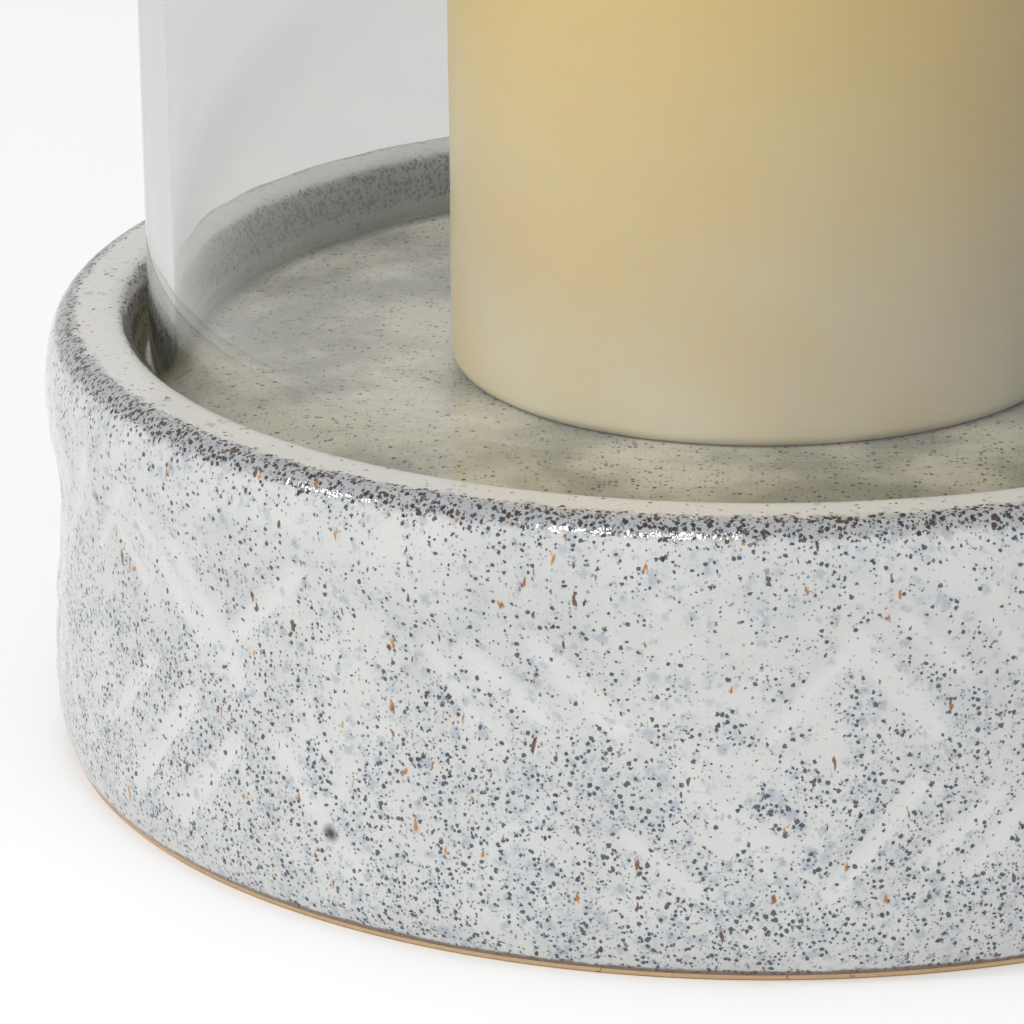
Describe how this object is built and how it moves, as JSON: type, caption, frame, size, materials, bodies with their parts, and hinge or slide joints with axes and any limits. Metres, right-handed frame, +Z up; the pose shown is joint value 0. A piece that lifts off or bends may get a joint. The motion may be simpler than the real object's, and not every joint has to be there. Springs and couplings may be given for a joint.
{
  "type": "pillar candle holder",
  "caption": "Glazed stoneware drum with a shallow tray on top, holding a pillar candle inside a clear straight glass chimney that lifts off.",
  "frame": {"origin": "on the table, under the centre of the drum", "axes": "+Z up, along the axis that the drum, the glass and the candle share"},
  "size_m": [0.1756, 0.1756, 0.2665],
  "materials": {
    "reactive_glaze": "glossy white and pale blue-grey glaze, dark speckle, breaking brown at the edges, bare tan foot",
    "clear_glass": "clear, fire-polished ends with a faint green edge",
    "ivory_wax": "satin ivory wax",
    "cotton_wick": "waxed cotton braid",
    "tinned_steel": "pressed tinplate"
  },
  "bodies": {
    "base": {"stoneware_base": "reactive_glaze"},
    "chimney": {"glass_chimney": "clear_glass"},
    "candle": {"candle_wax": "ivory_wax", "candle_wick": "cotton_wick", "wick_sustainer": "tinned_steel"}
  },
  "joints": [
    {"name": "glass_lift", "type": "slide", "parent": "base", "child": "chimney", "axis": [0, 0, 1], "range_m": [0, 0.175]},
    {"name": "candle_lift", "type": "slide", "parent": "base", "child": "candle", "axis": [0, 0, 1], "range_m": [0, 0.225]}
  ]
}
